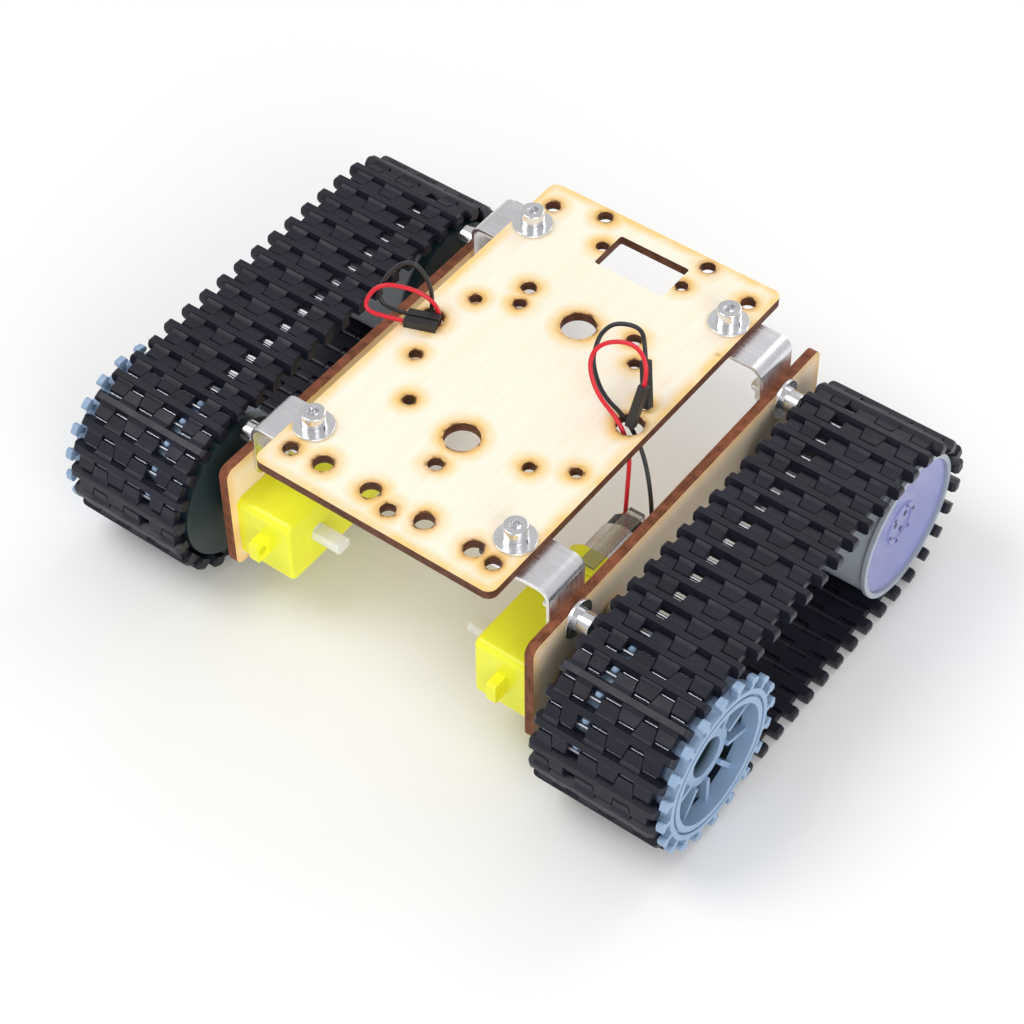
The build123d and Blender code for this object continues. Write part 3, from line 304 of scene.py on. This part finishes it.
def moulded(name, color, roughness=0.35, fine=900, strength=0.08, vary=0.08, painted_shade=None, **sockets):
    """Moulded plastic: slight tone and gloss changes, a fine surface texture and, if asked, a wheel's
    painted shade.
    """
    made = Shader(name, color, roughness, **sockets)
    tone = made.noise(60, 4)
    dark = tuple(c * (1 - vary) for c in color)
    tint = made.mix(made.remap(tone, 0.35, 0.65), dark, color)
    # painted shade: the wheel's shaded parts are darkened in its base colour, set by position
    if painted_shade:
        tint = made.mix(wheel_painted_shade(made, *painted_shade), tint, PAINTED_SHADE_COLOR)
    made.link(tint, "Base Color")
    gloss = made.remap(made.noise(180, 3), 0.3, 0.7, roughness * 0.85, roughness * 1.2)
    made.link(gloss, "Roughness")
    made.bump(made.noise(fine, 2), strength, 0.0001)
    return made.mat


def metal(name, color, roughness, brush=None, strength=0.06):
    """Bare metal, brushed along an axis where brush gives the scale per axis."""
    made = Shader(name, color, roughness, 1.0)
    streaks = made.noise(1.0, 5.0, 0.65, 0.0, made.scaled(brush or (400, 400, 400)))
    made.link(made.remap(streaks, 0.3, 0.7, roughness * 0.7, roughness * 1.35), "Roughness")
    spots = made.noise(90, 4)
    dull = tuple(c * 0.86 for c in color)
    made.link(made.mix(made.remap(spots, 0.4, 0.7), color, dull), "Base Color")
    made.bump(streaks, strength, 0.00005)
    return made.mat


bracket_steel = metal("bracket_steel", (0.86, 0.85, 0.88), 0.30, (60, 1500, 60), 0.015)
plated = metal("plated_steel", (0.83, 0.83, 0.85), 0.16)
washer_steel = metal("washer_steel", (0.86, 0.86, 0.88), 0.22, (900, 900, 900))
can_steel = metal("motor_steel", (0.78, 0.78, 0.80), 0.24, (60, 1500, 60))
pin_steel = metal("pin_steel", (0.78, 0.80, 0.84), 0.22)
pin_dark = metal("track_pin_steel", (0.42, 0.42, 0.48), 0.35)
brass = metal("brass_terminal", (0.80, 0.58, 0.25), 0.3)
copper = metal("armature", (0.62, 0.36, 0.20), 0.45)
magnet = moulded("magnet", (0.05, 0.05, 0.055), 0.6)
yellow = moulded("yellow_plastic", (1.0, 0.98, 0.03), 0.30, 700, 0.06, 0.05, Subsurface_Weight=0.12)
nylon = moulded("white_plastic", (0.88, 0.88, 0.85), 0.32, Subsurface_Weight=0.15)
drive_at, idler_at = joint_at["left_drive_turn"], joint_at["left_idler_turn"]
# painted shade darkens the inboard discs of sprocket and idler, and the sprocket deep in its barrel
wheel_blue = moulded("sprocket_plastic", (0.28, 0.40, 0.58), 0.34, 600, 0.10, 0.10, painted_shade=(drive_at, True))
rim_grey = moulded("idler_plastic", (0.36, 0.40, 0.46), 0.30, painted_shade=(idler_at, False))
lavender = moulded("cover_plastic", (0.26, 0.27, 0.54), 0.22, 500, 0.05, Subsurface_Weight=0.10, vary=0.10)
black_plastic = moulded("black_plastic", (0.018, 0.018, 0.020), 0.42)
track_color, finger_color = (0.0095, 0.0098, 0.020), (0.0115, 0.0115, 0.024)
track_black = moulded("track_plastic", track_color, 0.38, 500, 0.22, 0.25, Specular_IOR_Level=0.36)
mark_violet = moulded("cover_marks", (0.075, 0.07, 0.19), 0.35, 500, 0.2, 0.3)
finger_black = moulded("finger_plastic", finger_color, 0.46, 420, 0.6, 0.4, Specular_IOR_Level=0.34)
clear_strap = moulded("clear_strap", (0.93, 0.94, 0.95), 0.10, Transmission_Weight=0.9)
red_wire = moulded("red_wire", (0.72, 0.012, 0.03), 0.32, 1500, 0.03, 0.05)
black_wire = moulded("black_wire", (0.016, 0.016, 0.02), 0.34, 1500, 0.03, 0.05)

LOOKS = {
    "top_plate": deck_wood,
    "m4_screws": plated,
    "spring_washers": plated,
    "flat_washers": washer_steel,
    "m4_nuts": plated,
    "motor_mount_screws": plated,
    "motor_mount_nuts": plated,
    "gear_pins": pin_steel,
    "idler_axles": plated,
    "idler_axle_nuts": plated,
    "idler_spacers": pin_steel,
    "motor_magnets": magnet,
    "motor_end_caps": black_plastic,
    "motor_terminals": brass,
    "motor_straps": clear_strap,
}
for name in SIDES:
    LOOKS[name + "_side_plate"] = side_wood[name]
    LOOKS["front_" + name + "_bracket"] = bracket_steel
    LOOKS["rear_" + name + "_bracket"] = bracket_steel
    LOOKS[name + "_gearbox_outer_shell"] = yellow
    LOOKS[name + "_gearbox_inner_shell"] = yellow
    LOOKS[name + "_motor_can"] = can_steel
    LOOKS[name + "_rotor"] = copper
    LOOKS[name + "_output_shaft"] = nylon
    LOOKS[name + "_middle_gear"] = nylon
    LOOKS[name + "_crown_gear"] = nylon
    LOOKS[name + "_sprocket"] = wheel_blue
    LOOKS[name + "_sprocket_screw"] = plated
    LOOKS[name + "_idler_wheel"] = rim_grey
    LOOKS[name + "_idler_cover"] = lavender
    LOOKS[name + "_idler_bearings"] = pin_steel
    LOOKS[name + "_track_links"] = track_black
    LOOKS[name + "_track_pins"] = pin_dark
    LOOKS[name + "_red_connector"] = black_plastic
    LOOKS[name + "_black_connector"] = black_plastic
    LOOKS[name + "_red_wire"] = red_wire
    LOOKS[name + "_black_wire"] = black_wire

for name, look in LOOKS.items():
    mesh = nodes[name].data
    if mesh.materials:
        for index in range(len(mesh.materials)):
            mesh.materials[index] = look
    else:
        mesh.materials.append(look)

# ---------------------------------------------------------------- rounded copies of CAD nodes


def sheet_of(mesh, name, look, body, slot):
    """A new piece from a bmesh, which is freed, riding on a body."""
    data = bpy.data.meshes.new(name)
    mesh.to_mesh(data)
    mesh.free()
    data.materials.append(look)
    piece = bpy.data.objects.new(name, data)
    bpy.context.scene.collection.objects.link(piece)
    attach(piece, body)
    weigh = piece.modifiers.new("even_normals", "WEIGHTED_NORMAL")
    weigh.keep_sharp = True
    return piece


def shade(mesh, limit=32):
    """Smooth faces, with an edge kept sharp where it turns more than the limit."""
    for face in mesh.faces:
        face.smooth = True
    for edge in mesh.edges:
        flat = len(edge.link_faces) == 2 and edge.calc_face_angle() < math.radians(limit)
        edge.smooth = flat


def soften(mesh, width, angle=30, segments=2):
    """Joins a mesh's flat faces and rounds the edges that turn more than the angle."""
    bmesh.ops.remove_doubles(mesh, verts=mesh.verts, dist=1e-6)
    bmesh.ops.dissolve_limit(mesh, angle_limit=math.radians(1), verts=mesh.verts, edges=mesh.edges)
    limit = math.radians(angle)
    turned = [e for e in mesh.edges if len(e.link_faces) == 2 and e.calc_face_angle() > limit]
    bmesh.ops.bevel(
        mesh,
        geom=turned,
        offset=width,
        offset_type="OFFSET",
        segments=segments,
        profile=0.5,
        affect="EDGES",
        clamp_overlap=True,
    )


body_of = {node: body for body, members in behaviour["bodies"].items() for node in members}
slot_of = {row["node"]: row["material_slot"] for row in frame["record"]["subparts"]}


def round_edges(mesh, edges, width, segments):
    """Bevels chosen edges of a mesh."""
    bmesh.ops.bevel(
        mesh,
        geom=edges,
        offset=width,
        segments=segments,
        affect="EDGES",
        clamp_overlap=True,
    )


def rounded(node, width, segments=2):
    """The CAD node's own shape with its edges rounded, shown in its place."""
    mesh = bmesh.new()
    mesh.from_mesh(nodes[node].data)
    soften(mesh, width, segments=segments)
    shade(mesh)
    piece = sheet_of(mesh, node + "_rounded", LOOKS[node], body_of[node], slot_of[node])
    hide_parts(node)
    return piece


for name in SIDES:
    rounded(name + "_gearbox_outer_shell", 0.5 * MM)
    rounded(name + "_gearbox_inner_shell", 0.5 * MM)
    rounded(name + "_output_shaft", 0.15 * MM)
    rounded(name + "_sprocket", 0.3 * MM)
    rounded(name + "_idler_wheel", 0.3 * MM)
    rounded(name + "_idler_cover", 0.3 * MM)
    rounded(name + "_red_connector", 0.15 * MM)
    rounded(name + "_black_connector", 0.15 * MM)
    rounded("front_" + name + "_bracket", 0.25 * MM)
    rounded("rear_" + name + "_bracket", 0.25 * MM)
    rounded(name + "_side_plate", 0.12 * MM)
rounded("top_plate", 0.12 * MM)
HARDWARE = {
    "m4_nuts": 0.25,
    "motor_mount_nuts": 0.15,
    "idler_axle_nuts": 0.25,
    "m4_screws": 0.2,
    "motor_mount_screws": 0.15,
    "motor_end_caps": 0.25,
    "motor_straps": 0.2,
}
for node, width in HARDWARE.items():
    rounded(node, width * MM)

# ---------------------------------------------------------------- tracks

# One link, from its own middle: s along the track, h outwards, both in millimetres.
PITCH = 7.7
WHEEL_LINKS, RUN_LINKS = 20, 13
BAR_HALF = 1.7
FINGER_END = PITCH / 2 + 1.72
LEAN = 0.42
START_FINGERS = ((62.8, 67.5), (76.0, 82.0), (88.0, 93.4))
END_FINGERS = ((67.5, 72.2), (82.0, 88.0), (93.4, 98.8))
STRAIGHT_EDGES = (62.8, 72.2, 76.0, 98.8)
FINGER_PROFILE = (
    (BAR_HALF - 0.7, 2.6),
    (BAR_HALF + 0.05, 2.4),
    (BAR_HALF + 0.6, 1.85),
    (PITCH / 2, 1.8),
    (FINGER_END - 0.3, 1.65),
    (FINGER_END, 1.35),
    (FINGER_END, -0.3),
    (BAR_HALF - 0.7, -0.3),
)


def link_frames(name):
    """Each link's middle, the way it runs and the way out of the loop, from the axles."""
    drive, idler = joint_at[name + "_drive_turn"], joint_at[name + "_idler_turn"]
    hinge_r = PITCH / (2 * math.sin(math.pi / WHEEL_LINKS))
    hinges = []
    for axle, first in ((drive, 90), (idler, 270)):
        for step in range(WHEEL_LINKS // 2 + 1):
            angle = math.radians(first + 360 / WHEEL_LINKS * step)
            out = Vector((0, math.cos(angle), math.sin(angle)))
            hinges.append(Vector((0, axle.y, axle.z)) + out * hinge_r)
        run = Vector((0, PITCH if axle == drive else -PITCH, 0))
        hinges += [hinges[-1] + run * step for step in range(1, RUN_LINKS)]
    for start, end in zip(hinges, hinges[1:] + hinges[:1]):
        along = (end - start).normalized()
        yield (start + end) / 2, along, Vector((0, along.z, -along.y))


def finger_edges(low, high, s):
    """A finger's sides lean, wide at its own bar and narrow at the next one."""
    lean = LEAN * (1 - 2 * (s - BAR_HALF) / (PITCH - 2 * BAR_HALF))
    low += 0.06 - (0 if low in STRAIGHT_EDGES else lean)
    high -= 0.06 - (0 if high in STRAIGHT_EDGES else lean)
    return low, high


def add_finger(mesh, side, place, along, out, low, high):
    """One trapezoid finger of a link, its profile swept across its leaning sides."""
    rings = []
    for which in (0, 1):
        ring = []
        for s, h in FINGER_PROFILE:
            x = finger_edges(low, high, s)[which]
            ring.append(mesh.verts.new((Vector((side * x, 0, 0)) + place + along * s + out * h) * MM))
        rings.append(ring)
    count = len(FINGER_PROFILE)
    mesh.faces.new(rings[0])
    mesh.faces.new(rings[1][::-1])
    for i in range(count):
        j = (i + 1) % count
        mesh.faces.new((rings[0][j], rings[0][i], rings[1][i], rings[1][j]))


def add_rod(mesh, start, end, radius, sides=10):
    """A thin closed rod between two points, in millimetres."""
    run = end - start
    turn = run.to_track_quat("Z", "Y").to_matrix().to_4x4()
    place = Matrix.Translation((start + end) / 2 * MM) @ turn
    bmesh.ops.create_cone(
        mesh,
        cap_ends=True,
        segments=sides,
        radius1=radius * MM,
        radius2=radius * MM,
        depth=run.length * MM,
        matrix=place,
    )


for name, side in SIDES.items():
    fingers = bmesh.new()
    rods = bmesh.new()
    for middle, along, out in link_frames(name):
        for way, spans in ((-1, START_FINGERS), (1, END_FINGERS)):
            for low, high in spans:
                add_finger(fingers, side, middle, along * way, out, low, high)
                # the pin shows in the slit between the finger's end and the next bar
                line = middle + along * way * (PITCH - BAR_HALF - 0.22) + out * 0.6
                ends = [Vector((side * x, 0, 0)) + line for x in (low + 0.7, high - 0.7)]
                add_rod(rods, ends[0], ends[1], 0.17, 8)
    bmesh.ops.recalc_face_normals(fingers, faces=fingers.faces)
    turned = [e for e in fingers.edges if e.calc_face_angle() > math.radians(40)]
    round_edges(fingers, turned, 0.11 * MM, 1)
    shade(fingers)
    sheet_of(fingers, name + "_track_fingers", finger_black, "chassis", "track_plastic")
    shade(rods)
    sheet_of(rods, name + "_track_pin_lines", pin_dark, "chassis", "track_pin_steel")
    rounded(name + "_track_links", 0.18 * MM, segments=1)

# ---------------------------------------------------------------- sprocket guide knobs

GUIDE = (72.9, 75.3)
KNOB_LAG = 3.9
# Each level of a knob: its radius from the axle, then half its width and half its length.
KNOB_LEVELS = ((22.0, 1.2, 1.0), (24.6, 1.1, 0.95), (25.3, 0.75, 0.6))
for name, side in SIDES.items():
    knobs = bmesh.new()
    drive = joint_at[name + "_drive_turn"]
    for step in range(WHEEL_LINKS):
        angle = math.radians(360 / WHEEL_LINKS * step - KNOB_LAG)
        out = Vector((0, math.cos(angle), math.sin(angle)))
        along = Vector((0, -out.z, out.y))
        centre = Vector((side * (GUIDE[0] + GUIDE[1]) / 2, drive.y, drive.z))
        corners = []
        for r, half_x, half_s in KNOB_LEVELS:
            for sx, ss in ((-1, -1), (1, -1), (1, 1), (-1, 1)):
                point = centre + out * r + along * ss * half_s + Vector((sx * half_x, 0, 0))
                corners.append(knobs.verts.new(point * MM))
        knobs.faces.new(corners[3::-1])
        knobs.faces.new(corners[8:12])
        for level in (0, 4):
            for i in range(4):
                j = (i + 1) % 4
                ring = (level + i, level + j, level + 4 + j, level + 4 + i)
                knobs.faces.new([corners[index] for index in ring])
    bmesh.ops.recalc_face_normals(knobs, faces=knobs.faces)
    round_edges(knobs, list(knobs.edges), 0.25 * MM, 2)
    shade(knobs)
    sheet_of(knobs, name + "_guide_knobs", wheel_blue, name + "_drive", "sprocket_plastic")

# ---------------------------------------------------------------- idler hub marks

# Each ring of marks: count, first angle, distance from the axle, how far in from the cover's face,
# how far each mark stands out and its radius, in degrees and millimetres.
MARK_RINGS = ((6, 12, 6.05, 0.0, 0.18, 0.62), (3, 40, 3.0, 0.5, 0.2, 0.9))
MARK_DEPTH = 0.3
COVER_DISH = 1.2
for name, side in SIDES.items():
    axle = joint_at[name + "_idler_turn"]
    low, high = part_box(name + "_idler_cover")
    face = side * (max(abs(low.x), abs(high.x)) / MM - COVER_DISH)
    marks = bmesh.new()
    for count, first, reach, sunk, proud, radius in MARK_RINGS:
        for step in range(count):
            angle = math.radians(360 / count * step + first)
            y, z = axle.y + reach * math.cos(angle), axle.z + reach * math.sin(angle)
            centre = Vector((face - side * sunk, y, z))
            start = centre - Vector((side * MARK_DEPTH, 0, 0))
            add_rod(marks, start, centre + Vector((side * proud, 0, 0)), radius, 20)
    rims = [e for e in marks.edges if e.calc_face_angle() > math.radians(60)]
    round_edges(marks, rims, 0.12 * MM, 2)
    shade(marks)
    sheet_of(marks, name + "_hub_marks", mark_violet, name + "_idler", "cover_plastic")

# ---------------------------------------------------------------- wires

# Control points of each wire from its motor terminal to its housing, from the middle of the
# deck's top face, in millimetres. The housing gives the wire's last, straight stretch.
DECK_MIDDLE = Vector((0, 4.5, 65.5))
TAB_Y, TAB_Z = -3.15, -31.12
WIRES = {
    "right_red": (
        [
            (37.1, TAB_Y, TAB_Z),
            (37.4, TAB_Y + 0.2, TAB_Z + 12),
            (36.5, -0.9, -7.0),
            (32.4, -0.6, 2.0),
            (23.5, 0.6, 6.5),
            (19.0, 3.0, 15.0),
            (21.6, 6.8, 20.4),
            (31.0, 8.8, 23.4),
        ],
        ((36.6, 4.6, 14.0), (35.3, 0.6, 0.8), 5),
        0.083,
    ),
    "right_black": (
        [
            (46.1, TAB_Y, TAB_Z),
            (45.8, TAB_Y + 0.2, TAB_Z + 10),
            (39.5, 1.8, -9.0),
            (32.9, 2.2, 1.0),
            (24.0, 3.0, 4.0),
            (18.0, 6.6, 10.0),
            (17.0, 9.6, 13.4),
            (17.0, 12.2, 16.6),
            (19.6, 15.2, 19.6),
            (27.0, 16.8, 20.6),
        ],
        ((31.2, 13.0, 13.6), (35.2, 8.6, 1.2), 4),
        0.085,
    ),
    "left_red": (
        [
            (-37.1, TAB_Y, TAB_Z),
            (-37.4, TAB_Y + 0.2, TAB_Z + 12),
            (-33.4, 2.5, -9.0),
            (-32.4, 3.9, 1.0),
            (-34.6, 2.8, 6.6),
            (-40.0, 0.6, 9.6),
            (-48.6, -4.0, 10.4),
            (-51.0, -8.8, 2.6),
        ],
        ((-39.0, -4.4, 1.3), (-30.1, -1.1, 1.3), 4.5),
        0.077,
    ),
    "left_black": (
        [
            (-46.1, TAB_Y, TAB_Z),
            (-45.8, TAB_Y + 0.2, TAB_Z + 10),
            (-37.5, 3.5, -9.0),
            (-35.2, 4.2, 4.0),
            (-36.0, 3.6, 13.0),
            (-40.6, 1.6, 20.0),
            (-47.0, -1.4, 13.0),
            (-49.4, -4.0, 4.0),
        ],
        ((-39.9, -1.5, 1.3), (-31.0, 1.8, 1.3), 4),
        0.084,
    ),
}
WIRE_R = 0.65 * MM

for name, (corners, (entry, far_end, lead_in), length) in WIRES.items():
    entry, far_end = Vector(entry), Vector(far_end)
    into = (far_end - entry).normalized()
    points = [Vector(corner) for corner in corners] + [entry - into * lead_in, entry + into * 2]
    points = [(DECK_MIDDLE + point) * MM for point in points]
    line = bpy.data.curves.new(name + "_wire_line", "CURVE")
    line.dimensions = "3D"
    line.bevel_depth = WIRE_R
    line.bevel_resolution = 4
    line.resolution_u = 10
    line.use_fill_caps = True
    spline = line.splines.new("NURBS")
    spline.points.add(len(points) - 1)
    for made, point in zip(spline.points, points):
        made.co = (*point, 1)
    spline.order_u = 3
    spline.use_endpoint_u = True
    wire = bpy.data.objects.new(name + "_cord", line)
    bpy.context.scene.collection.objects.link(wire)
    line.materials.append(red_wire if name.endswith("red") else black_wire)
    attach(wire, "chassis")
    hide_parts(name + "_wire")
    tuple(points[0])

# ---------------------------------------------------------------- stage, light and camera

floor_look = bpy.data.materials.new("floor")
floor_look.use_nodes = True
floor_bsdf = floor_look.node_tree.nodes["Principled BSDF"]
floor_bsdf.inputs["Base Color"].default_value = (0.93, 0.93, 0.93, 1)
floor_bsdf.inputs["Roughness"].default_value = 0.9
bpy.ops.mesh.primitive_plane_add(size=12)
floor = bpy.context.object
floor.name = "floor"
floor.data.materials.append(floor_look)

world = bpy.data.worlds.new("studio")
bpy.context.scene.world = world
world.use_nodes = True
world.node_tree.nodes["Background"].inputs[0].default_value = (1, 1, 1, 1)
world.node_tree.nodes["Background"].inputs[1].default_value = 0.62

target = Vector((0, 0, 0.03))
for name, place, size, power in (
    ("key", (-0.5, -0.35, 1.0), 0.7, 4.5),
    ("fill", (0.95, -0.55, 0.55), 0.9, 6.0),
    ("back", (0.1, 1.0, 0.7), 0.8, 3.0),
):
    light = bpy.data.lights.new(name, "AREA")
    light.shape = "DISK"
    light.size = size
    light.energy = power
    lamp = bpy.data.objects.new(name, light)
    lamp.location = place
    lamp.rotation_euler = (target - Vector(place)).to_track_quat("-Z", "Y").to_euler()
    bpy.context.scene.collection.objects.link(lamp)

# Camera: azimuth, elevation and roll about the deck's centre, which sits off the lens axis.
AZIMUTH, ELEVATION, ROLL = (math.radians(a) for a in (37.29, 48.61, -0.65))
SLIDE = Vector((3.56, 38.16, 0)) * MM
DISTANCE = 753.85 * MM
LENS = 2723.96 / 1024 * 36
deck_low, deck_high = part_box("top_plate")
deck_centre = Vector(((deck_low.x + deck_high.x) / 2, (deck_low.y + deck_high.y) / 2, deck_high.z))
back = Vector((
    math.sin(AZIMUTH) * math.cos(ELEVATION),
    -math.cos(AZIMUTH) * math.cos(ELEVATION),
    math.sin(ELEVATION),
))
right = Vector((math.cos(AZIMUTH), math.sin(AZIMUTH), 0))
up = back.cross(right)
turned_right = right * math.cos(ROLL) + up * math.sin(ROLL)
turned_up = up * math.cos(ROLL) - right * math.sin(ROLL)
rotation = Matrix((turned_right, turned_up, back)).transposed()
camera_data = bpy.data.cameras.new("camera")
camera_data.sensor_width = 36
camera_data.lens = LENS
camera_data.clip_start = 0.01
camera = bpy.data.objects.new("camera", camera_data)
eye = deck_centre + back * DISTANCE - turned_right * SLIDE.x - turned_up * SLIDE.y
camera.matrix_world = Matrix.Translation(eye) @ rotation.to_4x4()
bpy.context.scene.collection.objects.link(camera)
bpy.context.scene.camera = camera
bpy.context.scene.view_settings.view_transform = "Standard"
